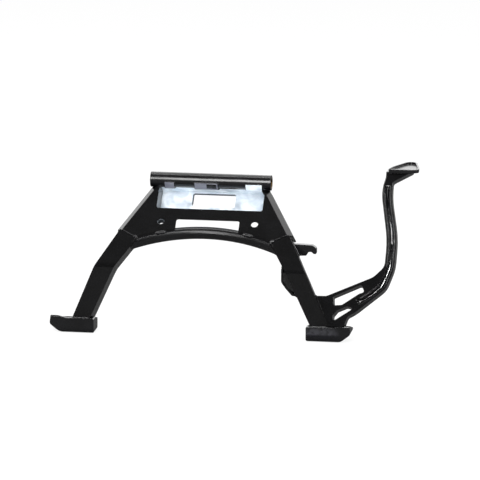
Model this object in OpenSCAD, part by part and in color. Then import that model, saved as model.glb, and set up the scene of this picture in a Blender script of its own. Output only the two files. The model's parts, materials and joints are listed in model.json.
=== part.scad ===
// Motorcycle centre stand, standing as it does when it carries the bike.
// The origin is the middle of the pivot bore. X runs along the pivot towards the foot lever,
// -Y is the front of the bike and Z is up, so the two feet rest below the pivot.

/* [Pivot] */
// Length of the pivot tube
pivot_length = 158.5; // [130:0.5:200]
// Outside diameter of the pivot tube
pivot_diameter = 20; // [18:0.5:24]
// Wall of the pivot tube
pivot_wall = 2.5; // [1.5:0.1:3]
// Bore of the two bushes, which turn on the pivot bolt
bolt_bore = 12.2; // [8:0.1:12.6]
// Length of each bush
bush_length = 26; // [12:1:40]
// Chamfer at the outer mouth of each bush's bore
bush_chamfer = 0.8; // [0.3:0.1:1.5]

/* [Yoke] */
// Angle of the yoke plate below the horizontal
yoke_lean = 45; // [38:1:52]
// Depth of the pressed yoke and of the legs, front to back
channel_depth = 22; // [18:0.5:26]
// Thickness of the pressed sheet
sheet = 3; // [2:0.1:4]
// Half of the yoke's width at the pivot
horn_half = 75.5; // [74:0.5:82]
// Half of the yoke's width at its lower corners
kink_half = 113.5; // [108:0.5:120]
// Distance from the pivot axis down the slope to the lower corners
kink_run = 76.7; // [70:0.5:84]
// Distance from the pivot axis down the slope to the yoke plate's upper edge
brow_run = 44; // [40:0.5:48]
// Width of the sloping strip along each outer edge
edge_slope = 6; // [3:0.5:8]
// Width of the window over the cross bar
window_w = 83; // [60:1:100]
// Distance from the pivot axis down the slope to the window's upper edge
window_run = 59; // [55:0.5:62]
// Diameter of the two holes in the yoke plate
hole_d = 9.5; // [5:0.5:12]
// Half of the distance between the two holes
hole_half = 61.4; // [56:0.5:68]
// Distance from the pivot axis down the slope to the holes
hole_run = 64; // [60:0.5:66]
// Distance that the window, holes, ears and back plate sit off the middle, towards the lever
off_middle = 2.4; // [0:0.1:3]

/* [Ears and back plate] */
// Half of the distance between the ears' inner faces
ear_half = 69.5; // [62:0.5:70]
// Thickness of each ear
ear_t = 3; // [2:0.5:3]
// Depth from the yoke's face to the bright back plate
back_depth = 27; // [22:0.5:30]
// Thickness of the back plate and its straps
back_t = 2; // [1.5:0.1:3]
// Width of the slot in the back plate
back_slot_w = 56; // [40:1:80]
// Height of the slot in the back plate, down the slope
back_slot_h = 20; // [14:1:22]
// Angle that each strap reaches round the front of the pivot tube
strap_wrap = 38; // [20:1:60]
// Width of the strap at the end away from the lever
strap_far = 12; // [8:0.5:20]
// Width of the middle strap
strap_mid = 30; // [16:0.5:40]
// Width of the strap at the lever's end
strap_near = 21; // [12:0.5:26]

/* [Cross bar] */
// Diameter of the arched cross bar
bar_d = 16; // [12:0.5:18]
// Distance from the pivot axis down the slope to the middle of the arch
bar_run = 75; // [73:0.5:80]
// Radius of the arch
bar_radius = 240; // [200:5:300]

/* [Legs] */
// Distance of the legs' front face ahead of the pivot axis
leg_front = 95; // [88:0.5:102]
// Half of the distance between the legs' outer edges at the knee
knee_outer = 139.5; // [136:0.5:144]
// Half of the distance between the legs' inner edges at the knee
knee_inner = 114; // [110:0.5:117]
// Half of the distance between the legs' outer edges at the feet
ankle_outer = 174.2; // [168:0.2:176]
// Half of the distance between the legs' inner edges at the feet
ankle_inner = 151.6; // [147:0.2:154]
// Bend radius of the legs' front face at the knee
knee_bend = 8; // [5:1:14]

/* [Feet] */
// Height of the pivot axis above the ground
stand_height = 186; // [176:1:196]
// Height of each foot tray's front wall
foot_h = 20; // [16:0.5:22]
// Height of each foot tray's back wall
foot_back = 15; // [10:0.5:16]
// Half of the distance between the feet's inner ends
foot_inner = 138.4; // [130:0.5:141]
// Distance that each foot's outer tip reaches beyond its leg
foot_over = 22.3; // [18:0.1:28]
// Wall of the foot trays
foot_wall = 3; // [2:0.1:4]
// Rise of the turned-up outer tip above the tray's rim
tip_rise = 3.5; // [0:0.5:6]
// Size of the round from each tray's sole up to its outer tip
toe = 14.5; // [12:0.5:18]

/* [Foot lever] */
// Angle that the lever leans back from upright
lever_lean = 28; // [20:1:32]
// Thickness of the lever, front to back
lever_t = 14; // [10:0.5:16]
// Web left behind the lever's front groove
lever_web = 4; // [3:0.5:6]
// Width of the rims beside the groove
lever_rim = 3.2; // [2:0.1:4.5]
// Distance of the pedal's middle from the middle of the stand
pedal_out = 251; // [245:0.5:258]
// Height of the pedal's seat up the lever
pedal_run = 187.5; // [178:0.5:200]
// Width of the lever's upright arm
arm_w = 13; // [11:0.5:16]
// Height up the lever at which the fan of struts turns into the upright arm
elbow_run = 57; // [50:0.5:64]
// Width of the pedal pad along its front
pedal_w = 40; // [34:1:46]
// Width of the pedal pad along its back
pedal_tail = 13; // [10:1:30]
// Depth of the pedal pad, front to back
pedal_deep = 50; // [40:1:56]
// Height of the pedal's turned-up rim
pedal_rim = 2.5; // [2:0.5:8]
// Thickness of the pedal's sheet
pedal_t = 2; // [1.5:0.1:4]

/* [Hook and stop] */
// Thickness of the spring hook
hook_t = 8; // [5:0.5:12]
// Distance of the spring hook ahead of the pivot axis
hook_ahead = 56.5; // [50:0.5:62]
// Distance that the spring hook stands out from the knee
hook_out = 7.2; // [4:0.1:14]
// Width of the stop bracket, front to back
stop_w = 18; // [12:1:20]
// Thickness of the stop bracket
stop_t = 2.5; // [1.5:0.1:4]
// Distance that the stop bracket stands off the leg's knee, towards the other leg
stop_out = 8.3; // [6:0.1:12]
// Half of the stop bracket's height
stop_half = 17.5; // [14:0.5:22]

/* [Hidden] */
$fn = 64;

// Clearance left between a bush and the tube that it is pressed into
bush_gap = 0.02;
// Reach of the tools that cut right through
far = 400;
// Slant of the seam where each leg takes over from the yoke plate
seam_slant = 28;
// Half of the arch that the cross bar's ring is drawn over, in degrees
bar_reach = 23.5;
// Distance from the pivot axis down the slope to the tips of the yoke's horns
horn_run = 8;
// Clearances between the ears and the straps beside them
far_clear = 7.5;
near_clear = 4;
// Place of the middle strap, off the middle of the back plate
mid_strap = -7.6;
// Half of the distance between the legs' inner edges where the cross bar meets them
root_inner = 88.8;
// Height of the middle of the lever's root above the ground
lever_up = 41;

paint = [0.10, 0.10, 0.11];
zinc = [0.85, 0.88, 0.92];
bronze = [0.62, 0.49, 0.30];
rubber = [0.06, 0.06, 0.06];

pivot_r = pivot_diameter / 2;
tube_bore = pivot_diameter - 2 * pivot_wall;
leg_back = leg_front - channel_depth;
leg_mid = (leg_front + leg_back) / 2;
leg_bottom = -stand_height + foot_wall;
foot_outer = ankle_outer + foot_over;
lever_z = lever_up - stand_height;
knee_turn = yoke_lean / 2;
knee_z = -leg_front * tan(yoke_lean);
stop_z = knee_z - 14.5;
pedal_z = lever_z + pedal_run * cos(lever_lean);
pedal_y = pedal_run * sin(lever_lean) - leg_mid;

// Points that round corner b of the path a, b, c to the radius r
function unit(v) = v / norm(v);
function turn(a) = a > 180 ? a - 360 : a < -180 ? a + 360 : a;
function corner(a, b, c, r) =
    r <= 0 ? [b] :
    let (u = unit(a - b), v = unit(c - b), half = acos(u * v) / 2,
        centre = b + unit(u + v) * r / sin(half),
        p = b + u * r / tan(half) - centre, q = b + v * r / tan(half) - centre,
        from = atan2(p[1], p[0]), sweep = turn(atan2(q[1], q[0]) - from),
        steps = max(3, ceil(abs(sweep) / 6)))
    [for (i = [0 : steps])
        centre + r * [cos(from + sweep * i / steps), sin(from + sweep * i / steps)]];

// Closed outline through points [x, y, radius of the corner]
function rounded(p) = let (n = len(p))
    [for (i = [0 : n - 1]) each corner([p[(i + n - 1) % n][0], p[(i + n - 1) % n][1]],
        [p[i][0], p[i][1]], [p[(i + 1) % n][0], p[(i + 1) % n][1]], p[i][2])];

// Places a drawing on the yoke's slope: y runs up the slope and z out of its front face
module on_yoke() {
    rotate([yoke_lean, 0, 0]) children();
}

// Places a drawing on the lever's slope, where the lever meets its leg
module on_lever() {
    translate([0, -leg_mid, lever_z]) rotate([90 - lever_lean, 0, 0]) children();
}

// Extrudes a front outline [x, z] along Y, between two distances ahead of the pivot axis
module from_front(ahead, behind) {
    translate([0, -behind, 0]) rotate([90, 0, 0]) linear_extrude(ahead - behind) children();
}

// Extrudes a side outline [y, z] along X
module from_side(from, to) {
    translate([from, 0, 0]) rotate([90, 0, 90]) linear_extrude(to - from) children();
}

module left_and_right(side) {
    if (side > 0) children();
    else mirror([1, 0, 0]) children();
}

// Extrudes an outline square to the middle of the knee's bend, right through the stand. Its y is
// measured across that direction, so heights on the yoke and on the legs both come from functions
module through_knee() {
    rotate([90 - knee_turn, 0, 0]) linear_extrude(far, center = true) children();
}
function on_slope(run) = -run * cos(knee_turn);
function on_leg(z) = z * cos(knee_turn) - leg_front * sin(knee_turn);

// Side view of a leg, as a strip between two depths behind its front face
module leg_side(near, deep) {
    steep = tan(knee_turn);
    top = 20;
    c = cos(yoke_lean);
    s = sin(yoke_lean);
    polygon(rounded([
        [-top * c + near * s, -top * s - near * c, 0],
        [-leg_front + near, knee_z - near * steep, knee_bend - near],
        [-leg_front + near, leg_bottom, 0],
        [-leg_front + deep, leg_bottom, 0],
        [-leg_front + deep, knee_z - deep * steep, 1],
        [-top * c + deep * s, -top * s - deep * c, 0]]));
}

// Outline of a leg, drawn in from its edges by a wall. Its ends run on past the seam and the sole
module leg_outline(wall) {
    slant = 1.12 * wall;
    past_seam = 22;
    past_sole = 40;
    polygon(rounded([
        [kink_half - 0.64 * past_seam - slant, on_slope(kink_run - past_seam), 0],
        [knee_outer - slant, on_leg(knee_z - 5), 150],
        [ankle_outer - slant, on_leg(leg_bottom), 0],
        [ankle_outer - slant + past_sole / 2, on_leg(leg_bottom) - past_sole, 0],
        [ankle_inner + slant + past_sole / 2, on_leg(leg_bottom) - past_sole, 0],
        [ankle_inner + slant, on_leg(leg_bottom), 0],
        [knee_inner + slant, on_leg(knee_z - 6), 110],
        [root_inner + slant, on_slope(bar_run + 20), 0],
        [root_inner - 12 + slant, on_slope(kink_run - past_seam), 0]]));
}

// Everything below the yoke plate's lower edge, where the legs take over
module below_yoke(side) {
    left_and_right(side) on_yoke() translate([kink_half, -kink_run, 0]) rotate([0, 0, seam_slant])
        translate([-far / 2, -far, -far / 2]) cube([far, far, far]);
}

// The solid form of a leg, that what is welded to the leg is cut to
module leg_block() {
    intersection() {
        from_side(0, far / 2) leg_side(0, channel_depth);
        through_knee() leg_outline(0);
        below_yoke(1);
    }
}

module leg(side) {
    color(paint) left_and_right(side) difference() {
        leg_block();
        intersection() {
            from_side(0, far / 2) leg_side(sheet, channel_depth + 60);
            through_knee() leg_outline(sheet);
        }
    }
}

module pivot_tube() {
    color(paint) rotate([0, 90, 0]) difference() {
        cylinder(d = pivot_diameter, h = pivot_length, center = true);
        cylinder(d = tube_bore, h = pivot_length + 2, center = true);
    }
}

module bush(side) {
    half = tube_bore / 2 - bush_gap;
    color(bronze) left_and_right(side) translate([pivot_length / 2 - bush_length, 0, 0])
        rotate([0, 90, 0]) rotate_extrude() polygon([
            [bolt_bore / 2, 0], [half, 0], [half, bush_length],
            [bolt_bore / 2 + bush_chamfer, bush_length],
            [bolt_bore / 2, bush_length - bush_chamfer]]);
}

// The arched bar, drawn as a ring stretch that is longer than the bar
module bar_ring() {
    on_yoke() translate([0, -bar_run - bar_radius, -bar_d / 2])
        rotate([0, 0, 90 - bar_reach]) rotate_extrude(angle = 2 * bar_reach)
            translate([bar_radius, 0]) circle(d = bar_d);
}

module cross_bar() {
    color(paint) difference() {
        bar_ring();
        leg_block();
        mirror([1, 0, 0]) leg_block();
    }
}

// Half of the yoke's width at a distance down the slope, along its straight outer edge
function edge_half(run) = horn_half
    + (kink_half - horn_half) * (run - horn_run) / (kink_run - horn_run);

// Section of the outer edge: a sloping strip in front, then a flange to the back
module edge_section(flare) {
    k = edge_slope;
    out = flare * channel_depth;
    polygon([[-k - sheet, 0], [-k, 0], [flare * k, -k], [out, -channel_depth],
        [out - sheet, -channel_depth], [flare * k - sheet, -k - sheet * 0.4],
        [-k - sheet * 0.4, -sheet], [-k - sheet, -sheet]]);
}

module yoke_edge() {
    wide = kink_half - horn_half;
    long = kink_run - horn_run;
    angle = atan2(wide, long);
    on_yoke() translate([horn_half, -horn_run, 0]) rotate([0, 0, angle]) rotate([90, 0, 0])
        linear_extrude(norm([wide, long]) + 30) edge_section(tan(knee_turn) * sin(angle));
}

// The yoke's front face, drawn flat: window, holes and the opening over the back plate
module yoke_face() {
    low = kink_run + 30;
    inset = edge_slope + 1;
    difference() {
        polygon([
            [edge_half(horn_run) - inset, -horn_run], [edge_half(low) - inset, -low],
            [-edge_half(low) + inset, -low], [-edge_half(horn_run) + inset, -horn_run]]);
        translate([0, -bar_run - bar_radius]) circle(r = bar_radius, $fn = 180);
        translate([off_middle, 0]) {
            polygon(rounded([
                [-ear_half, 0, 0], [-ear_half, -brow_run, 3], [ear_half, -brow_run, 3],
                [ear_half, 0, 0]]));
            polygon(rounded([
                [-window_w / 2, -window_run, 3], [-window_w / 2, -low - 20, 0],
                [window_w / 2, -low - 20, 0], [window_w / 2, -window_run, 3]]));
            for (side = [-1, 1]) translate([side * hole_half, -hole_run]) circle(d = hole_d);
        }
    }
}

module yoke_sheet() {
    on_yoke() translate([0, 0, -sheet]) linear_extrude(sheet) yoke_face();
    yoke_edge();
    mirror([1, 0, 0]) yoke_edge();
}

module yoke_plate() {
    color(paint) difference() {
        yoke_sheet();
        below_yoke(1);
        below_yoke(-1);
        bar_ring();
        rotate([0, 90, 0]) cylinder(d = pivot_diameter, h = far, center = true);
    }
}

// Side wall between the pivot tube, the yoke's horn and the back plate
module ear(side) {
    deep = back_depth + back_t;
    color(paint) difference() {
        translate([off_middle, 0, 0]) left_and_right(side) translate([ear_half, 0, 0])
            on_yoke() rotate([90, 0, 90]) linear_extrude(ear_t) polygon(rounded([
                [0, -sheet - 4, 0], [-2 * horn_run, -sheet, 0], [-brow_run - 5, -sheet, 0],
                [-brow_run - 5, -sheet - 6, 4],
                [-brow_run + 4, -deep, 6], [3, -deep, 6], [3, -pivot_r, 0]]));
        left_and_right(side) yoke_edge();
        rotate([0, 90, 0]) cylinder(d = pivot_diameter, h = far, center = true);
    }
}

// Bright closing plate behind the yoke, with a flange to the pivot tube, a flange to the yoke
// plate and three straps that reach round the front of the tube
module back_plate() {
    front = -back_depth;
    straps = [[far_clear - ear_half, strap_far], [mid_strap - strap_mid / 2, strap_mid],
        [ear_half - near_clear - strap_near, strap_near]];
    color(zinc) translate([off_middle, 0, 0]) difference() {
        on_yoke() union() {
            translate([-ear_half, 0, 0]) rotate([90, 0, 90]) linear_extrude(2 * ear_half) polygon([
                [back_t / 2, -pivot_r + 1], [back_t / 2, front - back_t],
                [-brow_run + 4, front - back_t], [-brow_run - 3, -sheet],
                [-brow_run - 1, -sheet], [-brow_run + 4 + back_t, front],
                [-back_t / 2, front], [-back_t / 2, -pivot_r + 1]]);
            for (strap = straps) translate([strap[0], 0, 0]) rotate([0, 90, 0])
                rotate([0, 0, -90 - strap_wrap]) rotate_extrude(angle = 90 + strap_wrap)
                    translate([pivot_r, 0]) square([back_t, strap[1]]);
        }
        rotate([0, 90, 0]) cylinder(d = pivot_diameter, h = far, center = true);
        on_yoke() translate([0, -back_t - 2 - back_slot_h / 2, front - back_t - 1])
            linear_extrude(back_t + 2) polygon(rounded([
                [-back_slot_w / 2, -back_slot_h / 2, 3], [back_slot_w / 2, -back_slot_h / 2, 3],
                [back_slot_w / 2, back_slot_h / 2, 3], [-back_slot_w / 2, back_slot_h / 2, 3]]));
    }
}

// Outer form of a foot tray seen from the front, drawn in from its edges by a wall
module foot_outline(wall, top) {
    low = -stand_height + wall;
    rim = -stand_height + foot_h + top;
    tip = foot_outer - wall;
    polygon(rounded([
        [foot_inner + wall, low, 3], [tip - toe, low, toe - wall], [tip, low + toe * 0.8, toe / 3],
        [tip - 1.5, rim + tip_rise, 1.5], [tip - toe / 2, rim + tip_rise, 4],
        [tip - 1.6 * toe, rim, 12], [foot_inner + wall, rim, top > 0 ? 0 : 2]]));
}

// Section of a foot tray seen from the side, lower at the back
module foot_section() {
    half = channel_depth / 2 + foot_wall;
    front = -leg_mid - half;
    back = -leg_mid + half;
    polygon(rounded([
        [front, -stand_height + foot_h + tip_rise, 2], [front, -stand_height, 6],
        [back, -stand_height, 6], [back, -stand_height + foot_back, 2]]));
}

module foot_block() {
    intersection() {
        from_front(far / 2, 0) foot_outline(0, 0);
        from_side(0, far) foot_section();
    }
}

module foot(side) {
    color(paint) left_and_right(side) difference() {
        foot_block();
        from_front(leg_front, leg_back) foot_outline(foot_wall, 20);
    }
}

// What the lever's root is cut to: the leg's outer face, carried on to the front and back
module lever_seat() {
    through_knee() leg_outline(0);
    foot_block();
}

// Edges of the upright arm, inner and outer, drawn in by a wall
function arm_inner(wall, neck_bend) = let (x = pedal_out - arm_w - 1.4 + wall) [
    [x - 1.2, elbow_run, 16], [x, pedal_run / 2 - 2, 150], [x - 12, pedal_run - 29, neck_bend]];
function arm_outer(wall) = let (x = pedal_out - 1.4 - wall) [
    [x - 10.6, pedal_run - 37, 110], [x, pedal_run / 2 + 4, 150], [x - 0.8, elbow_run, 60]];

// The arm's foot is a fan of struts from the leg's edge, open between its slots
module lever_outline() {
    neck = pedal_out - pedal_w / 2;
    polygon(rounded(concat(
        [[146, 15.6, 0], [ankle_outer - 11, 15.8, 12], [pedal_out - 29, elbow_run - 14, 24]],
        arm_inner(0, 60),
        [[neck - 1.6, pedal_run - 12, 14], [neck - 1, pedal_run + 20, 0],
        [pedal_out + 14, pedal_run + 20, 0], [pedal_out + 13, pedal_run - 2.3, 3],
        [pedal_out - 12, pedal_run - 16.7, 5]],
        arm_outer(0),
        [[pedal_out - 11.6, elbow_run / 2, 30], [ankle_outer + 27, -5, 60],
        [ankle_outer + 18, -10.2, 6], [ankle_outer + 14, -24, 4], [158, -24, 0]])));
}

module lever_slots() {
    root = ankle_outer;
    polygon(rounded([
        [root - 1.8, 15.8, 2], [root + 33.3, 32.8, 3], [root + 37.4, 22.6, 2.5],
        [root + 31.3, 20.6, 8], [root + 9.8, 4.8, 5], [root - 0.6, 3.8, 2]]));
    polygon(rounded([
        [root - 0.4, -8.6, 2], [root + 4.2, -2.2, 3], [root + 15.8, 3.2, 3], [root + 22.8, 2.4, 2],
        [root + 21.8, -1.4, 2], [root + 2.8, -15, 2], [root - 0.4, -15, 1]]));
}

// Groove that opens the arm to the front, from the lowest strut up to the neck
module lever_groove() {
    top = pedal_run - 21;
    polygon(rounded(concat(
        [[ankle_outer + 31.8, 6.4, 2], [ankle_outer + 27.3, 12.4, 2],
        [pedal_out - 37, 20.4, 10], [pedal_out - 22, elbow_run - 24, 20]],
        arm_inner(lever_rim, 16),
        [[pedal_out - 24.6 + lever_rim, top, 2], [pedal_out - 12 - lever_rim, top, 2]],
        arm_outer(lever_rim),
        [[pedal_out - 13.6, elbow_run - 26, 20], [pedal_out - 27, 17.6, 30]])));
}

// Foot lever in one piece, cut to the leg's edge and levelled off under the pedal
module foot_lever() {
    color(paint) difference() {
        on_lever() difference() {
            translate([0, 0, -lever_t / 2]) linear_extrude(lever_t) difference() {
                lever_outline();
                lever_slots();
            }
            translate([0, 0, -lever_t / 2 + lever_web]) linear_extrude(lever_t) lever_groove();
        }
        lever_seat();
        translate([0, -far / 2, pedal_z]) cube([far, far, far]);
    }
}

// Outline of the pedal pad, narrower to the back, drawn in from its edge by a wall
module pedal_outline(wall) {
    front = -12;
    back = front + pedal_deep - wall;
    half = pedal_w / 2 - wall;
    tail = pedal_w / 2 - 7;
    polygon(rounded([
        [-half, front + wall, 4.5 - wall], [half + 1, front + wall, 7 - wall],
        [half, 4, 20], [tail - wall, back, 8 - wall],
        [tail - pedal_tail + wall, back, 8 - wall], [-half + 6, 8, 30]]));
}

module pedal() {
    color(paint) translate([pedal_out, pedal_y, pedal_z]) difference() {
        linear_extrude(pedal_t + pedal_rim) pedal_outline(0);
        translate([0, 0, pedal_t]) linear_extrude(far) pedal_outline(pedal_t);
    }
}

// Hook for the return spring, on the outer side of the lever's leg at the height of the knee
module spring_hook() {
    tip = knee_outer + hook_out;
    top = knee_z + 29;
    color(paint) difference() {
        from_front(hook_ahead + hook_t / 2, hook_ahead - hook_t / 2) polygon(rounded([
            [knee_inner - 2, top, 0], [tip - 5.5, top - 1, 4], [tip, top - 4.5, 4],
            [tip, top - 12.5, 1], [tip - 3.5, top - 12.5, 1], [tip - 6, top - 10, 2],
            [tip - 10, top - 10, 2], [tip - 13, top - 15, 2], [knee_inner - 2, top - 16, 0]]));
        leg_block();
    }
}

// Outer line of the strap that stands off the inner side of the lever's leg, from its upper end
// to its lower one, drawn in by a wall
function stop_line(wall) = let (x = knee_inner - stop_out + wall, z = stop_z) [
    [x, z + stop_half, 5], [x, z, 7], [x + 0.76 * stop_out, z - stop_half / 2 + wall / 2, 7],
    [x + 1.7 * stop_out, z - stop_half + wall, 3],
    [x + 2.9 * stop_out, z - stop_half - 1 + wall, 0]];

module stop_bracket() {
    top = stop_z + 1.55 * stop_half;
    color(paint) difference() {
        from_front(leg_mid + stop_w / 2, leg_mid - stop_w / 2) polygon(rounded(concat(
            [[knee_inner - 2, top, 0]], stop_line(0),
            [for (i = [4 : -1 : 0]) stop_line(stop_t)[i]], [[knee_inner, top, 0]])));
        through_knee() leg_outline(0);
    }
}

// Rubber block that fills the strap and meets the bike's frame when the stand is up
module stop_rubber() {
    x = knee_inner - stop_out + stop_t;
    inside = knee_inner + stop_out;
    color(rubber) difference() {
        from_front(leg_mid + stop_w / 2 + 1, leg_back - 6) polygon(rounded([
            [knee_inner + 2, stop_z + 0.75 * stop_half, 0], [x, stop_z + 0.75 * stop_half, 2],
            [x, stop_z + 2, 2], [x + 0.8 * stop_out, stop_z - stop_half / 2 + 1.5, 3],
            [inside, stop_z - 0.7 * stop_half, 0], [inside, stop_z, 0]]));
        through_knee() leg_outline(0);
    }
}

pivot_tube();
bush(1);  // bush_left
bush(-1);  // bush_right
yoke_plate();
ear(1);  // ear_left
ear(-1);  // ear_right
back_plate();
cross_bar();
leg(1);  // leg_left
leg(-1);  // leg_right
foot(1);  // foot_left
foot(-1);  // foot_right
foot_lever();
pedal();
spring_hook();
stop_bracket();
stop_rubber();
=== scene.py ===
import json
import math
import bmesh
import bpy
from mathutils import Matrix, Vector, noise
from mathutils.bvhtree import BVHTree
from mathutils.kdtree import KDTree


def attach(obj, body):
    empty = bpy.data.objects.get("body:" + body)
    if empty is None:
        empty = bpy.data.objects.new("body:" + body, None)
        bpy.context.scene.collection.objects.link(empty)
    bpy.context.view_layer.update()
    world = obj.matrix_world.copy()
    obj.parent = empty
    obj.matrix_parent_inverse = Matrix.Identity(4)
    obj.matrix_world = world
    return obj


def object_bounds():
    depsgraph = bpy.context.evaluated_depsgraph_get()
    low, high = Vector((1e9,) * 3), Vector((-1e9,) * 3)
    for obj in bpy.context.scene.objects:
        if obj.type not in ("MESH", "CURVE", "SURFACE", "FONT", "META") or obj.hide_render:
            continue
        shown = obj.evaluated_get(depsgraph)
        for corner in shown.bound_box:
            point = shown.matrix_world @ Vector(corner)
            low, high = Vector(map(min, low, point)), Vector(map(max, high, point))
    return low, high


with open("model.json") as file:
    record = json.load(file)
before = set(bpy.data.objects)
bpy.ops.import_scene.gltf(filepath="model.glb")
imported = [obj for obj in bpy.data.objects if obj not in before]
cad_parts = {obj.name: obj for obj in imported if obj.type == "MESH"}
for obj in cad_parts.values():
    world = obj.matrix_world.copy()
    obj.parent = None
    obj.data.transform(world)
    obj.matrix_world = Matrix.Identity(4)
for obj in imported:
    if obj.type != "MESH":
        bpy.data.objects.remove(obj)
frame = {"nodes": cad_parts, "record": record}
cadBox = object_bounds()
parts = frame["nodes"]
scene = bpy.context.scene
mm = 0.001
print("frame loaded:", len(parts), "pieces")


# Colours and shader nodes

def toLinear(hexColour):
    values = [int(hexColour[i:i + 2], 16) / 255 for i in (1, 3, 5)]
    return [v / 12.92 if v <= 0.04045 else ((v + 0.055) / 1.055) ** 2.4 for v in values] + [1.0]


def addNode(tree, kind, settings=None, links=None):
    node = tree.nodes.new("ShaderNode" + kind)
    for name, value in (settings or {}).items():
        if isinstance(name, int) or name in node.inputs:
            node.inputs[name].default_value = value
        else:
            setattr(node, name, value)
    for name, source in (links or {}).items():
        tree.links.new(source, node.inputs[name])
    return node


def startMaterial(name):
    material = bpy.data.materials.new(name)
    material.use_nodes = True
    tree = material.node_tree
    tree.nodes.clear()
    coords = addNode(tree, "TexCoord").outputs["Object"]
    return material, tree, coords


def finishMaterial(tree, surface):
    addNode(tree, "OutputMaterial", links={"Surface": surface})


def noiseOf(tree, coords, sizeMm, detail, distortion=0.0):
    node = addNode(tree, "TexNoise", {"Scale": 1 / (sizeMm * mm), "Detail": detail,
                                      "Distortion": distortion}, {"Vector": coords})
    return node.outputs["Fac"]


def rampOf(tree, value, tones):
    ramp = addNode(tree, "ValToRGB", links={"Fac": value})
    stops = ramp.color_ramp.elements
    for place in sorted(tones)[1:-1]:
        stops.new(place)
    for stop, place in zip(stops, sorted(tones)):
        stop.position, stop.color = place, toLinear(tones[place])
    return ramp.outputs["Color"]


def remap(tree, value, source=(0.0, 1.0), target=(0.0, 1.0), curve="LINEAR"):
    node = addNode(tree, "MapRange", {
        "interpolation_type": curve, "From Min": source[0], "From Max": source[1],
        "To Min": target[0], "To Max": target[1]}, {"Value": value})
    return node.outputs["Result"]


def fadeOver(tree, value, spanMm):
    return remap(tree, value, [end * mm for end in spanMm])


def multiply(tree, first, second):
    return addNode(tree, "Math", {"operation": "MULTIPLY"}, {0: first, 1: second}).outputs["Value"]


def bumpOf(tree, height, depthMm, normal=None, strength=1.0):
    links = {"Height": height, "Normal": normal} if normal else {"Height": height}
    node = addNode(tree, "Bump", {"Strength": strength, "Distance": depthMm * mm}, links)
    return node.outputs["Normal"]


def roundedCorner(tree, radiusMm, samples):
    node = addNode(tree, "Bevel", {"samples": samples, "Radius": radiusMm * mm})
    return node.outputs["Normal"]


def blendShaders(tree, share, first, second):
    return addNode(tree, "MixShader", links={"Fac": share, 1: first, 2: second}).outputs["Shader"]


# Black stoving enamel over welded steel: deep gloss with a faint orange peel, slightly thinner
# and paler in patches; sheet metal has crisp corners and the forged lever has round ones
enamel = {"tones": {0.35: "#070708", 0.7: "#0c0c0e"}, "patchMm": 26, "roughness": (0.17, 0.27),
          "ior": 1.5, "waveMm": 24, "waveDepthMm": 0.22, "peelMm": 2.2, "peelDepthMm": 0.012,
          "sheetCornerMm": 0.9, "forgedCornerMm": 2.4, "cornerSamples": 6}

# Foot under the lever: painted reflection on its enamel, a grey line along the sole's bottom edge
# and a lighter band above it, in broken patches that fade out towards the tip; heights and ends in
# the frame's mm
paintedFootSheen = {"heightMm": (-186, -166), "endMm": (184, 170), "breakMm": 7, "broken": (0.3, 0.55),
         "tones": {0.0: "#5c5e64", 0.05: "#08080a", 0.42: "#07070d", 0.56: "#2b2b2f",
                   0.84: "#27272a", 1.0: "#0c0c0e"}}


# Painted reflection: mixes the grey sole edge and the lighter band into the foot's colour
def paintedSheenColour(tree, coords, plain):
    place = addNode(tree, "SeparateXYZ", links={"Vector": coords}).outputs
    sheenTone = rampOf(tree, fadeOver(tree, place["Z"], paintedFootSheen["heightMm"]), paintedFootSheen["tones"])
    broken = remap(tree, noiseOf(tree, coords, paintedFootSheen["breakMm"], detail=3.0), paintedFootSheen["broken"])
    share = multiply(tree, broken, fadeOver(tree, place["X"], paintedFootSheen["endMm"]))
    return addNode(tree, "Mix", {"data_type": "RGBA"}, {0: share, 6: plain, 7: sheenTone}).outputs[2]


def makeEnamel(name, cornerMm, withPaintedSheen=False):
    material, tree, coords = startMaterial(name)
    patches = noiseOf(tree, coords, enamel["patchMm"], detail=3.0)
    peel = noiseOf(tree, coords, enamel["peelMm"], detail=1.0)
    wave = noiseOf(tree, coords, enamel["waveMm"], detail=1.0)
    corner = roundedCorner(tree, cornerMm, enamel["cornerSamples"])
    uneven = bumpOf(tree, wave, enamel["waveDepthMm"], corner)
    plain = rampOf(tree, patches, enamel["tones"])
    shader = addNode(tree, "BsdfPrincipled", {"IOR": enamel["ior"]}, {
        "Base Color": paintedSheenColour(tree, coords, plain) if withPaintedSheen else plain,
        "Roughness": remap(tree, patches, target=enamel["roughness"]),
        "Normal": bumpOf(tree, peel, enamel["peelDepthMm"], uneven)})
    finishMaterial(tree, shader.outputs["BSDF"])
    return material


# Zinc plating on cold rolled sheet: bluish white metal, softly mottled where a pale bloom dulls
# it, with a fine rolling grain along the sheet; the left and middle straps get a painted shade of
# grey
zinc = {"tones": {0.32: "#cfdae4", 0.62: "#eef5fb"}, "mottleMm": 14, "distortion": 0.6,
        "bloom": {0.3: "#000000", 0.6: "#ffffff"}, "roughness": (0.36, 0.52),
        "metallic": (0.6, 0.1), "paintedShadeColour": "#6c6e79",
        "paintedShadeMm": {"X": (32, 18), "Y": (-3, -7), "Z": (-16, -13)},
        "grainMm": 0.9, "grainStretch": 18, "grainDepthMm": 0.006,
        "cornerMm": 0.4, "cornerSamples": 4}


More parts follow.
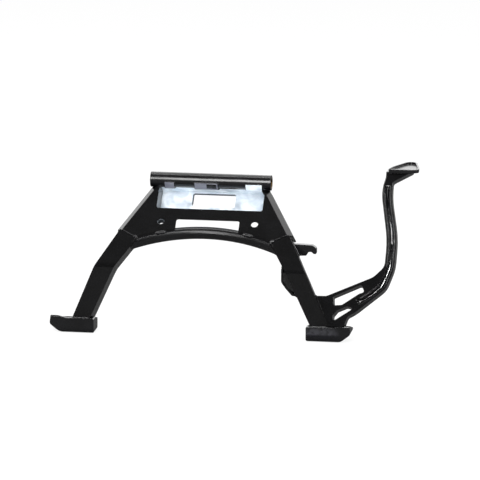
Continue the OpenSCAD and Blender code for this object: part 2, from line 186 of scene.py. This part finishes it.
def makeZinc():
    material, tree, coords = startMaterial("zincPlatedSheet")
    mottle = noiseOf(tree, coords, zinc["mottleMm"], detail=4.0, distortion=zinc["distortion"])
    rolled = addNode(tree, "Mapping", {"Scale": (1 / zinc["grainStretch"], 1, 1)},
                     {"Vector": coords})
    grain = noiseOf(tree, rolled.outputs["Vector"], zinc["grainMm"], detail=2.0)
    corner = roundedCorner(tree, zinc["cornerMm"], zinc["cornerSamples"])
    bloom = rampOf(tree, mottle, zinc["bloom"])
    place = addNode(tree, "SeparateXYZ", links={"Vector": coords}).outputs
    # Painted shade: greys the straps at x below 18 mm, fading out by 32 mm; the right strap stays
    # bright
    inX, inY, inZ = [fadeOver(tree, place[axis], span) for axis, span in zinc["paintedShadeMm"].items()]
    tone = addNode(tree, "Mix", {"data_type": "RGBA", 7: toLinear(zinc["paintedShadeColour"])}, {
        0: multiply(tree, multiply(tree, inX, inY), inZ),
        6: rampOf(tree, mottle, zinc["tones"])})
    shader = addNode(tree, "BsdfPrincipled", links={
        "Base Color": tone.outputs[2],
        "Metallic": remap(tree, bloom, target=zinc["metallic"]),
        "Roughness": remap(tree, bloom, target=zinc["roughness"]),
        "Normal": bumpOf(tree, grain, zinc["grainDepthMm"], corner)})
    finishMaterial(tree, shader.outputs["BSDF"])
    return material


# Bare steel, dull dark grey with fine draw lines; its darkness is partly painted shade, for the
# shaded upper and left edges of the slot on the lip and for the dim left hole on the weld nut
bareSteelAndShade = {"tones": {0.35: "#3f4347", 0.65: "#6b7177"}, "lineMm": 0.5, "roughness": 0.5,
             "metallic": 0.7}


def makeBareSteelAndShade():
    material, tree, coords = startMaterial("bareSteelPaintedShade")
    lines = noiseOf(tree, coords, bareSteelAndShade["lineMm"], detail=2.0)
    shader = addNode(tree, "BsdfPrincipled", {
        "Roughness": bareSteelAndShade["roughness"], "Metallic": bareSteelAndShade["metallic"]}, {
        "Base Color": rampOf(tree, lines, bareSteelAndShade["tones"])})
    finishMaterial(tree, shader.outputs["BSDF"])
    return material


# Sintered bronze, pressed and oil filled: dark brown metal with open pores
bronze = {"tones": {0.1: "#2a2015", 0.45: "#57452c"}, "poreMm": 0.35, "poreDepthMm": 0.02,
          "poreStrength": 0.6, "roughness": 0.42}


def makeBronze():
    material, tree, coords = startMaterial("sinteredBronze")
    pores = addNode(tree, "TexVoronoi", {"Scale": 1 / (bronze["poreMm"] * mm)},
                    {"Vector": coords}).outputs["Distance"]
    shader = addNode(tree, "BsdfPrincipled", {"Metallic": 1.0, "Roughness": bronze["roughness"]}, {
        "Base Color": rampOf(tree, pores, bronze["tones"]),
        "Normal": bumpOf(tree, pores, bronze["poreDepthMm"], strength=bronze["poreStrength"])})
    finishMaterial(tree, shader.outputs["BSDF"])
    return material


# Moulded nitrile rubber: matt grey black with the fine grain of its mould
rubber = {"tones": {0.4: "#171717", 0.7: "#242424"}, "bloomMm": 5, "grainMm": 0.6,
          "grainDepthMm": 0.03, "roughness": 0.78, "ior": 1.52}


def makeRubber():
    material, tree, coords = startMaterial("mouldedNitrileRubber")
    bloom = noiseOf(tree, coords, rubber["bloomMm"], detail=3.0)
    grain = noiseOf(tree, coords, rubber["grainMm"], detail=2.0)
    shader = addNode(tree, "BsdfPrincipled", {
        "Roughness": rubber["roughness"], "IOR": rubber["ior"]}, {
        "Base Color": rampOf(tree, bloom, rubber["tones"]),
        "Normal": bumpOf(tree, grain, rubber["grainDepthMm"])})
    finishMaterial(tree, shader.outputs["BSDF"])
    return material


finishes = {"black_paint": makeEnamel("stovingEnamelOnSheet", enamel["sheetCornerMm"]),
            "zinc_sheet": makeZinc(), "bush_bronze": makeBronze(), "stop_rubber": makeRubber()}
# The foot under the lever takes the enamel with the painted reflection
special = {"foot_lever": makeEnamel("stovingEnamelOnForging", enamel["forgedCornerMm"]),
           "foot_left": makeEnamel("stovingEnamelPaintedSheen", enamel["sheetCornerMm"], True)}
bareSteelShadeFinish = makeBareSteelAndShade()
for row in frame["record"]["subparts"]:
    slots = parts[row["node"]].data.materials
    slots.clear()
    slots.append(special.get(row["node"], finishes[row["material_slot"]]))


# Lines, rings and skins that the added pieces are made from

def lineLength(line):
    return sum((b - a).length for a, b in zip(line, line[1:]))


def evenPoints(line, step):
    count = max(2, round(lineLength(line) / step))
    gap = lineLength(line) / count
    slack = 1e-9  # for rounding at a corner that falls on a step
    points, travelled, target = [line[0]], 0.0, gap
    for a, b in zip(line, line[1:]):
        stretch = (b - a).length
        while stretch and travelled + stretch >= target - slack and len(points) < count:
            points.append(a.lerp(b, (target - travelled) / stretch))
            target += gap
        travelled += stretch
    return points + [line[-1]]


def relax(points, rounds):
    for _ in range(rounds):
        between = [points[i] * 0.5 + (points[i - 1] + points[i + 1]) * 0.25
                   for i in range(1, len(points) - 1)]
        points = [points[0]] + between + [points[-1]]
    return points


def heading(points, i):
    return (points[min(i + 1, len(points) - 1)] - points[max(i - 1, 0)]).normalized()


def roundRing(mesh, centre, side, up, radius, sides):
    angles = [2 * math.pi * k / sides for k in range(sides)]
    return [mesh.verts.new(centre + (side * math.cos(t) + up * math.sin(t)) * radius)
            for t in angles]


def skin(mesh, rings, closed=False):
    count = len(rings[0])
    for a, b in zip(rings, rings[1:] + rings[:1] if closed else rings[1:]):
        for k in range(count):
            after = (k + 1) % count
            mesh.faces.new((a[k], a[after], b[after], b[k]))
    if not closed:
        mesh.faces.new(list(reversed(rings[0])))
        mesh.faces.new(rings[-1])
    bmesh.ops.recalc_face_normals(mesh, faces=mesh.faces)


def addPiece(name, mesh, material, smooth=True):
    data = bpy.data.meshes.new(name)
    mesh.to_mesh(data)
    mesh.free()
    data.polygons.foreach_set("use_smooth", [smooth] * len(data.polygons))
    data.materials.append(material)
    piece = bpy.data.objects.new(name, data)
    scene.collection.objects.link(piece)
    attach(piece, "root")


# Seams: the sharp edges of one piece, cut in short steps and kept where they touch another
seam = {"joinMm": 0.002, "sharpDegrees": 25, "stepMm": 1.0, "touchMm": 0.06, "meetMm": 0.02,
        "shortestMm": 5}


def joinedMesh(name):
    mesh = bmesh.new()
    mesh.from_mesh(parts[name].data)
    bmesh.ops.remove_doubles(mesh, verts=mesh.verts, dist=seam["joinMm"] * mm)
    return mesh


def seamPieces(edgePart, facePart):
    edgeMesh, faceMesh = joinedMesh(edgePart), joinedMesh(facePart)
    surface = BVHTree.FromBMesh(faceMesh)
    sharp = math.radians(seam["sharpDegrees"])
    pieces = []
    for edge in edgeMesh.edges:
        if len(edge.link_faces) == 2 and edge.calc_face_angle(0) < sharp:
            continue
        start, end = edge.verts[0].co, edge.verts[1].co
        count = max(1, math.ceil((end - start).length / (seam["stepMm"] * mm)))
        stops = [start.lerp(end, i / count) for i in range(count + 1)]
        touching = [surface.find_nearest(stop, seam["touchMm"] * mm)[0] is not None
                    for stop in stops]
        pieces += [(stops[i], stops[i + 1]) for i in range(count)
                   if touching[i] and touching[i + 1]]
    edgeMesh.free()
    faceMesh.free()
    return pieces


def chainPieces(pieces):
    def key(point):
        return tuple(round(v / (seam["meetMm"] * mm)) for v in point)

    spots, neighbours = {}, {}
    for a, b in pieces:
        if key(a) == key(b):
            continue
        spots[key(a)], spots[key(b)] = a.copy(), b.copy()
        neighbours.setdefault(key(a), set()).add(key(b))
        neighbours.setdefault(key(b), set()).add(key(a))
    used, lines = set(), []
    ends = sorted(k for k in neighbours if len(neighbours[k]) != 2)
    for first in ends + sorted(neighbours):
        for second in sorted(neighbours[first]):
            if frozenset((first, second)) in used:
                continue
            line, now = [first], second
            used.add(frozenset((first, second)))
            while True:
                line.append(now)
                onward = [k for k in sorted(neighbours[now]) if frozenset((now, k)) not in used]
                if len(neighbours[now]) != 2 or not onward:
                    break
                used.add(frozenset((now, onward[0])))
                now = onward[0]
            lines.append([spots[k] for k in line])
    return lines


# Weld bead: a round run of ripples that wanders a little and thins at both ends
bead = {"stepMm": 0.45, "smoothing": 4, "sides": 12, "rippleMm": 2.1, "rippleDepth": 0.16,
        "wanderMm": 0.25, "wanderEveryMm": 6, "taperMm": 3.0, "blunt": 0.15}


def layBead(mesh, line, widthMm):
    points = relax(evenPoints(line, bead["stepMm"] * mm), bead["smoothing"])
    total = lineLength(points)
    side = heading(points, 0).orthogonal().normalized()
    rings, travelled, before = [], 0.0, points[0]
    for i, point in enumerate(points):
        ahead = heading(points, i)
        side = (side - ahead * side.dot(ahead)).normalized()
        travelled += (point - before).length
        before = point
        fromEnd = min(travelled, total - travelled) / (bead["taperMm"] * mm)
        taper = math.sqrt(min(1.0, fromEnd + bead["blunt"]))
        ripple = abs(math.sin(math.pi * travelled / (bead["rippleMm"] * mm)))
        wander = noise.noise(point / (bead["wanderEveryMm"] * mm)) * bead["wanderMm"] * mm
        radius = widthMm * mm / 2 * taper * (1 - bead["rippleDepth"] * (1 - ripple))
        rings.append(roundRing(mesh, point + side * wander, side, ahead.cross(side), radius,
                               bead["sides"]))
    skin(mesh, rings)


# Widths of the beads, and the stretch that a bead fills where it leaves part of its seam, in mm
widthsMm = {"foot": 4.0, "bar": 4.0, "seam": 1.8, "ear": 3.4, "flange": 4.4, "lever": 3.2,
            "pedal": 3.6, "hook": 3.6, "back": 3.2, "stop": 3.0, "bar_plate": 5.5}
stretches = {
    "foot": lambda x, y, z: z > -176,  # where the leg comes out of the tray
    "seam": lambda x, y, z: y + z < -74,  # from 52 mm down the slope
    "lever": lambda x, y, z: z > -170,  # stops short of the foot
    "bar_plate": lambda x, y, z: 50 < abs(x) < 64 or 84 < abs(x) < 92}  # two stitches a side
flangeEnd = [(111.0, -50.8, -59.4), (112.6, -45.0, -64.6), (114.0, -39.6, -69.2)]  # side flange


def addBeads(name, lines, widthMm):
    mesh = bmesh.new()
    for line in lines:
        layBead(mesh, line, widthMm)
    addPiece(name, mesh, finishes["black_paint"])
    print(name, len(lines), "beads,", round(sum(map(lineLength, lines)) / mm), "mm")


def weld(kind, edgePart, facePart, side=""):
    pieces = seamPieces(edgePart, facePart)
    if kind in stretches:
        pieces = [p for p in pieces if stretches[kind](*[v / mm for v in (p[0] + p[1]) / 2])]
    lines = [line for line in chainPieces(pieces) if lineLength(line) > seam["shortestMm"] * mm]
    addBeads("weld_" + kind + side, lines, widthsMm[kind])


for side, sign in (("_left", 1), ("_right", -1)):
    weld("foot", "foot" + side, "leg" + side, side)
    weld("bar", "cross_bar", "leg" + side, side)
    weld("seam", "leg" + side, "yoke_plate", side)
    weld("ear", "ear" + side, "pivot_tube", side)
    flangeLine = [Vector((sign * x, y, z)) * mm for x, y, z in flangeEnd]
    addBeads("weld_flange" + side, [flangeLine], widthsMm["flange"])
weld("lever", "foot_lever", "leg_left")
weld("pedal", "foot_lever", "pedal")
weld("hook", "spring_hook", "leg_left")
weld("back", "back_plate", "pivot_tube")
weld("stop", "stop_bracket", "leg_left")
weld("bar_plate", "yoke_plate", "cross_bar")


# Groove of the lever: its bed lies higher than the clearance cut and curves up into the rims,
# like a forging that has to leave its die
lever = {"startMm": (0, -84, -145), "tiltDegrees": 28, "grooveFloorMm": -3.0, "sameMm": 0.01,
         "flat": 0.999}
cove = {"bedMm": 4.6, "radiusMm": 4.2, "smallestMm": 0.4, "fit": 0.96, "shrink": 0.9,
        "smoothing": 12, "stepMm": 0.8, "turns": 7, "underMm": 0.12}
leverTilt = math.radians(lever["tiltDegrees"])
leverOut = Vector((0, -math.cos(leverTilt), math.sin(leverTilt)))
leverStart = Vector(lever["startMm"]) * mm


def isGrooveFloor(face):
    height = (face.calc_center_median() - leverStart).dot(leverOut) / mm
    return (face.normal.dot(leverOut) > lever["flat"]
            and abs(height - lever["grooveFloorMm"]) < lever["sameMm"])


def grooveEdge():
    mesh = joinedMesh("foot_lever")
    edges = []
    for edge in mesh.edges:
        floor = [isGrooveFloor(face) for face in edge.link_faces]
        if len(floor) == 2 and floor[0] != floor[1]:
            edges.append((edge.verts[0].co.copy(), edge.verts[1].co.copy()))
    mesh.free()
    line = max(chainPieces(edges), key=lineLength)
    return evenPoints(line, cove["stepMm"] * mm)[:-1]


def inwardFrom(points):
    count = len(points)
    inward = [(points[(i + 2) % count] - points[i - 2]).cross(leverOut).normalized()
              for i in range(count)]
    middle = sum(points, Vector()) / count
    turning = sum((points[i] - middle).cross(points[(i + 1) % count] - middle).dot(leverOut)
                  for i in range(count))
    return [-direction for direction in inward] if turning > 0 else inward


def coveRadii(points, inward):
    count = len(points)
    edge = KDTree(count)
    for i, point in enumerate(points):
        edge.insert(point, i)
    edge.balance()
    radii = []
    for point, direction in zip(points, inward):
        radius = cove["radiusMm"] * mm
        while (radius > cove["smallestMm"] * mm
               and edge.find(point + direction * radius)[2] < radius * cove["fit"]):
            radius *= cove["shrink"]
        radii.append(radius)
    for _ in range(cove["smoothing"]):
        radii = [min(radii[i], (radii[i - 1] + 2 * radii[i] + radii[(i + 1) % count]) / 4)
                 for i in range(count)]
    return radii


def makeGrooveBed(points, inward):
    mesh, under = bmesh.new(), cove["underMm"] * mm
    loops = [[mesh.verts.new(point - direction * under + leverOut * height)
              for point, direction in zip(points, inward)]
             for height in (-under, cove["bedMm"] * mm)]
    skin(mesh, loops)
    bmesh.ops.triangulate(mesh, faces=mesh.faces)
    addPiece("lever_groove_bed", mesh, special["foot_lever"], smooth=False)


def makeGrooveCove(points, inward):
    mesh, under, rings = bmesh.new(), cove["underMm"] * mm, []
    turns = [math.pi / 2 * k / cove["turns"] for k in range(cove["turns"] + 1)]
    for point, direction, radius in zip(points, inward, coveRadii(points, inward)):
        profile = [(-under, -under), (-under, radius)]
        profile += [(radius * (1 - math.cos(t)), radius * (1 - math.sin(t))) for t in turns]
        profile.append((radius, -under))
        rings.append([mesh.verts.new(point + leverOut * cove["bedMm"] * mm + direction * across
                                     + leverOut * up) for across, up in profile])
    skin(mesh, rings, closed=True)
    addPiece("lever_groove_cove", mesh, special["foot_lever"])


groovePoints = grooveEdge()
grooveInward = inwardFrom(groovePoints)
makeGrooveBed(groovePoints, grooveInward)
makeGrooveCove(groovePoints, grooveInward)
print("groove bed and cove:", len(groovePoints), "steps")


# A point on the yoke's 45 degree slope, from the distance down it and out of its face, in mm
def onSlope(x, run, out):
    lean = math.sqrt(0.5)
    return Vector((x, -run * lean - out * lean, -run * lean + out * lean)) * mm


# Lip: a thin dark rolled bead along the slot's upper and left edges, painted shade for the shaded
# cut edges there; edges and face in mm on the slope
lip = {"left": -25.6, "right": 30.4, "top": 4.0, "bottom": 22.0, "face": -27.0, "corner": 2.5,
       "turns": 6, "radiusMm": 0.95, "sides": 10, "stepMm": 0.6, "endShare": 0.25,
       "growth": 0.15}


def makeLip():
    turns = [math.pi / 2 * k / lip["turns"] for k in range(lip["turns"] + 1)]
    corner = [(lip["left"] + lip["corner"] * (1 - math.cos(t)),
               lip["top"] + lip["corner"] * (1 - math.sin(t))) for t in turns]
    line = [(lip["left"], lip["bottom"])] + corner + [(lip["right"], lip["top"])]
    points = evenPoints([onSlope(x, run, lip["face"]) for x, run in line], lip["stepMm"] * mm)
    mesh, rings = bmesh.new(), []
    out = onSlope(0, 0, 1).normalized()
    for i, point in enumerate(points):
        side = heading(points, i).cross(out)
        fromEnd = min(i, len(points) - 1 - i)
        radius = lip["radiusMm"] * mm * min(1.0, lip["endShare"] + fromEnd * lip["growth"])
        rings.append(roundRing(mesh, point, side, out, radius, lip["sides"]))
    skin(mesh, rings)
    addPiece("slot_lip", mesh, bareSteelShadeFinish)


# Recess in the middle strap: paint has run into it and stays as a thin black panel, from one
# angle to the other round the tube
recess = {"left": -4.6, "right": 8.4, "from": -10, "to": -44, "radiusMm": 12.0, "thickMm": 0.14,
          "sinkMm": 0.05, "turns": 12}


def makeRecess():
    mesh, rings = bmesh.new(), []
    turns = [math.radians(recess["from"] + (recess["to"] - recess["from"]) * k / recess["turns"])
             for k in range(recess["turns"] + 1)]
    inner, outer = recess["radiusMm"] - recess["sinkMm"], recess["radiusMm"] + recess["thickMm"]
    for x in (recess["left"], recess["right"]):
        arcs = [(inner, t) for t in turns] + [(outer, t) for t in reversed(turns)]
        rings.append([mesh.verts.new(Vector((x, -math.cos(t) * radius, math.sin(t) * radius)) * mm)
                      for radius, t in arcs])
    skin(mesh, rings)
    addPiece("strap_recess", mesh, finishes["black_paint"])


# Weld nut behind the yoke's left hole: a hexagon with a threaded bore, so that hole looks dim; its
# dark steel adds painted shade there
nut = {"x": -59.0, "run": 64.0, "face": -3.0, "highMm": 8.0, "acrossMm": 13.0, "boreMm": 6.8,
       "threadMm": 8.0, "pitchMm": 1.25, "chamferMm": 0.8, "chamferLean": 0.6, "sides": 48}


def nutProfile():
    hexagon, back = nut["acrossMm"] / 2, -nut["highMm"]
    bore, thread = nut["boreMm"] / 2, nut["threadMm"] / 2
    outside = [("hex", hexagon, 0.0), ("hex", hexagon, back + nut["chamferMm"]),
               ("hex", hexagon - nut["chamferMm"] * nut["chamferLean"], back)]
    crests = [("round", (bore, thread)[k % 2], back + nut["pitchMm"] / 2 * (k + 1))
              for k in range(int(nut["highMm"] / nut["pitchMm"] * 2))]
    return outside + [("round", thread, back)] + crests + [("round", thread, 0.0)]


def makeNut():
    mesh, rings = bmesh.new(), []
    for shape, size, out in nutProfile():
        ring = []
        for k in range(nut["sides"]):
            t = 2 * math.pi * k / nut["sides"]
            fromFlat = (t + math.pi / 6) % (math.pi / 3) - math.pi / 6
            reach = size / math.cos(fromFlat) if shape == "hex" else size
            ring.append(mesh.verts.new(onSlope(nut["x"] + reach * math.cos(t),
                                               nut["run"] + reach * math.sin(t),
                                               nut["face"] + out)))
        rings.append(ring)
    skin(mesh, rings, closed=True)
    addPiece("weld_nut", mesh, bareSteelShadeFinish)


makeLip()
makeRecess()
makeNut()
print("lip, recess and nut made")


# Plain pale sweep that the stand rests on: clean white to the eye, keeping a faint shadow, and
# clear from below so that the soles can be looked at
floorSweep = {"sizeM": 12.0, "tones": {0.3: "#d2d2d2", 0.7: "#dadada"}, "fibreMm": 3,
              "cleanShare": 0.76, "cleanGlow": 1.05, "mirroredShare": 0.18, "dropMm": 0.08}
white = (1, 1, 1, 1)


def makePaper():
    material, tree, coords = startMaterial("mattPaperSweep")
    rays = addNode(tree, "LightPath").outputs
    fibres = noiseOf(tree, coords, floorSweep["fibreMm"], detail=2.0)
    tone = addNode(tree, "VectorMath", {"operation": "SCALE"}, {
        0: rampOf(tree, fibres, floorSweep["tones"]),
        "Scale": remap(tree, rays["Is Glossy Ray"], target=(1.0, floorSweep["mirroredShare"]))})
    paper = addNode(tree, "BsdfDiffuse", links={"Color": tone.outputs["Vector"]})
    clean = addNode(tree, "Emission", {"Color": white, "Strength": floorSweep["cleanGlow"]})
    share = remap(tree, rays["Is Camera Ray"], target=(0.0, floorSweep["cleanShare"]))
    sheet = blendShaders(tree, share, paper.outputs["BSDF"], clean.outputs["Emission"])
    backFace = addNode(tree, "NewGeometry").outputs["Backfacing"]
    finishMaterial(tree, blendShaders(tree, multiply(tree, rays["Is Camera Ray"], backFace), sheet,
                                      addNode(tree, "BsdfTransparent").outputs["BSDF"]))
    return material


def makeFloor(groundZ):
    half = floorSweep["sizeM"] / 2
    corners = [(-half, -half), (half, -half), (half, half), (-half, half)]
    data = bpy.data.meshes.new("floor")
    data.from_pydata([(x, y, groundZ) for x, y in corners], [], [(0, 1, 2, 3)])
    data.materials.append(makePaper())
    floor = bpy.data.objects.new("floor", data)
    scene.collection.objects.link(floor)


makeFloor(cadBox[0].z - floorSweep["dropMm"] * mm)
print("floor laid")


# World: white to the eye, an even pale light, and in the gloss a bright backdrop behind the
# stand and dim surroundings in front of it
surroundings = {"lightLevel": 0.92, "frontGlow": 0.12, "backGlow": 2.4, "turn": (-0.1, 0.8)}


def makeWorld():
    world = bpy.data.worlds.new("paleStudio")
    world.use_nodes = True
    scene.world = world
    tree = world.node_tree
    tree.nodes.clear()
    rays = addNode(tree, "LightPath").outputs
    seen = addNode(tree, "Math", {"operation": "MAXIMUM"}, {
        0: rays["Is Camera Ray"], 1: rays["Is Transmission Ray"]})
    coords = addNode(tree, "TexCoord").outputs["Generated"]
    where = addNode(tree, "SeparateXYZ", links={"Vector": coords}).outputs
    glow = remap(tree, where["Y"], surroundings["turn"],
                 (surroundings["frontGlow"], surroundings["backGlow"]), "SMOOTHSTEP")
    light = addNode(tree, "Background", {"Color": white, "Strength": surroundings["lightLevel"]})
    mirrored = addNode(tree, "Background", {"Color": white}, {"Strength": glow})
    clean = addNode(tree, "Background", {"Color": white, "Strength": 1.0})
    shiny = blendShaders(tree, rays["Is Glossy Ray"], light.outputs["Background"],
                         mirrored.outputs["Background"])
    mix = blendShaders(tree, seen.outputs["Value"], shiny, clean.outputs["Background"])
    addNode(tree, "OutputWorld", links={"Surface": mix})


# Lamps: a wide softbox by the camera, a narrow one overhead, one to each side and two small ones
# for the bar and the groove; the flat sheet is shaded from the front and side ones to stay dark
lampAim = (0.03, -0.03, -0.06)
quiet = ["yoke_plate", "leg_left", "leg_right", "stop_bracket", "stop_rubber", "weld_seam_left",
         "weld_seam_right", "weld_bar_left", "weld_bar_right", "weld_flange_left",
         "weld_flange_right", "weld_lever"]
lamps = {
    "front": {"place": (-0.08, -2.1, 1.05), "aim": lampAim, "size": (0.8, 1.1), "watts": 50,
              "shaded": quiet + ["foot_lever", "cross_bar"]},
    "bar": {"place": (-0.40, -2.0, 1.05), "aim": lampAim, "size": (0.16, 1.9), "watts": 15,
            "only": ["cross_bar"]},
    "groove": {"place": (0.212, -0.197, 0.050), "aim": (0.242, -0.052, -0.084),
               "size": (0.03, 0.06), "watts": 1.0,
               "only": ["lever_groove_cove", "lever_groove_bed"]},
    "top": {"place": (0.0, 0.25, 2.2), "aim": lampAim, "size": (1.6, 0.2), "watts": 10},
    "left": {"place": (-2.3, -0.4, 1.0), "aim": lampAim, "size": (1.1, 1.8), "watts": 45,
             "shaded": quiet},
    "right": {"place": (2.3, -0.4, 1.0), "aim": lampAim, "size": (1.1, 1.8), "watts": 55,
              "shaded": quiet}}


def limitLamp(lamp, names, state):
    flag = bpy.data.collections.new(lamp.name + "Flag")
    lamp.light_linking.receiver_collection = flag
    for name in names:
        flag.objects.link(parts[name] if name in parts else scene.objects[name])
    for entry in flag.collection_objects:
        entry.light_linking.link_state = state


def addLamp(name, spec):
    data = bpy.data.lights.new(name + "Softbox", "AREA")
    data.shape = "RECTANGLE"
    data.size, data.size_y = spec["size"]
    data.energy = spec["watts"]
    lamp = bpy.data.objects.new(name + "Softbox", data)
    lamp.location = spec["place"]
    lamp.rotation_euler = (Vector(spec["aim"]) - lamp.location).to_track_quat("-Z", "Y").to_euler()
    scene.collection.objects.link(lamp)
    if "shaded" in spec:
        limitLamp(lamp, spec["shaded"], "EXCLUDE")
    if "only" in spec:
        limitLamp(lamp, spec["only"], "INCLUDE")


makeWorld()
for name, spec in lamps.items():
    addLamp(name, spec)
print("world and", len(lamps), "lamps set")


# Camera: a long lens, a little above the stand and turned towards its lever side, in metres,
# degrees and, for lens and sensor, mm
view = {"target": (0.03955, -0.01123, -0.07486), "distance": 6.0, "yaw": 9.0, "elevation": 13.0,
        "lens": 346.15, "sensor": 36.0, "farthest": 30}


def makeCamera():
    data = bpy.data.cameras.new("camera")
    data.lens, data.sensor_width, data.clip_end = view["lens"], view["sensor"], view["farthest"]
    camera = bpy.data.objects.new("camera", data)
    yaw, rise = math.radians(view["yaw"]), math.radians(view["elevation"])
    away = Vector((math.sin(yaw) * math.cos(rise), -math.cos(yaw) * math.cos(rise),
                   math.sin(rise)))
    camera.location = Vector(view["target"]) + away * view["distance"]
    camera.rotation_euler = (math.radians(90 - view["elevation"]), 0, yaw)
    scene.collection.objects.link(camera)
    scene.camera = camera


makeCamera()
scene.view_settings.view_transform = "Standard"
print("camera set")
